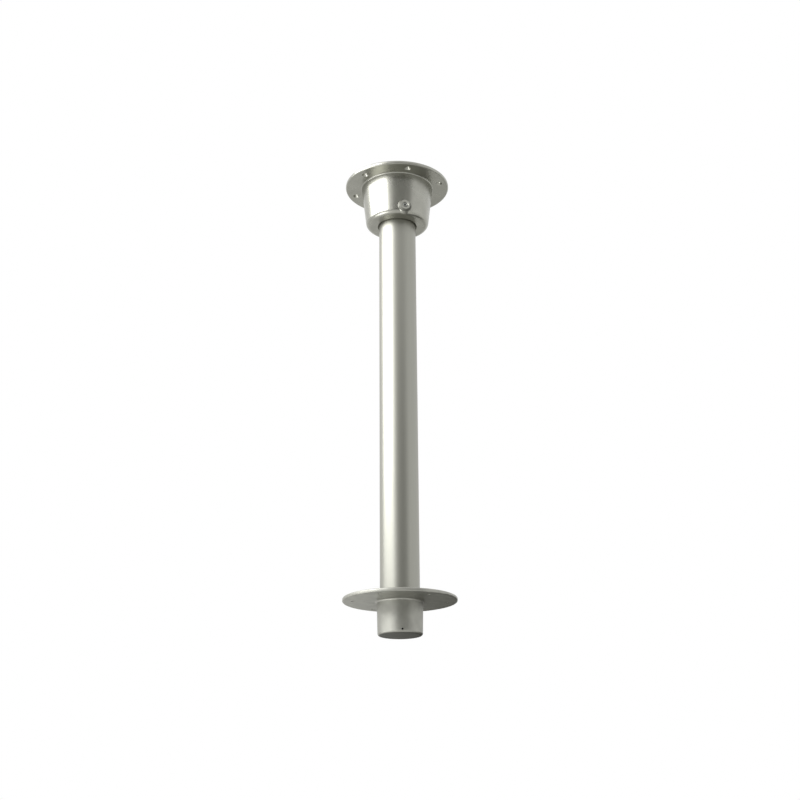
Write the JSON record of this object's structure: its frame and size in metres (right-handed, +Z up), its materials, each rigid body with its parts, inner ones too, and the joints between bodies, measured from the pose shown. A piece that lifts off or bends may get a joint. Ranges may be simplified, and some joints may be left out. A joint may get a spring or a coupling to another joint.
{
  "type": "table pedestal",
  "caption": "Boat table pedestal: a round aluminium tube stands in a blind deck socket and carries a bell-shaped flanged bracket that screws under the table top.",
  "frame": {"origin": "on the tube's axis at the deck's surface, which is the underside of the floor base's flange", "axes": "+Z up along the tube to the table; the set screw in the bracket faces -Y"},
  "size_m": [0.172, 0.172, 0.75],
  "materials": {
    "cast_aluminium": "satin",
    "drawn_aluminium": "satin anodised",
    "stainless_steel": "plain"
  },
  "bodies": {
    "base": {"floor_base": "cast_aluminium"},
    "column": {"column_tube": "drawn_aluminium"},
    "bracket": {"table_bracket": "cast_aluminium"},
    "clamp": {"set_screw": "stainless_steel"}
  },
  "joints": [
    {"name": "column_lift", "type": "slide", "parent": "base", "child": "column", "axis": [0, 0, 1], "range_m": [0, 0.055]},
    {"name": "bracket_turn", "type": "hinge", "parent": "column", "child": "bracket", "pos_m": [0, 0, 0.66], "axis": [0, 0, 1], "continuous": true},
    {"name": "set_screw_travel", "type": "slide", "parent": "bracket", "child": "clamp", "axis": [0, -1, 0], "range_m": [0, 0.00375]}
  ]
}
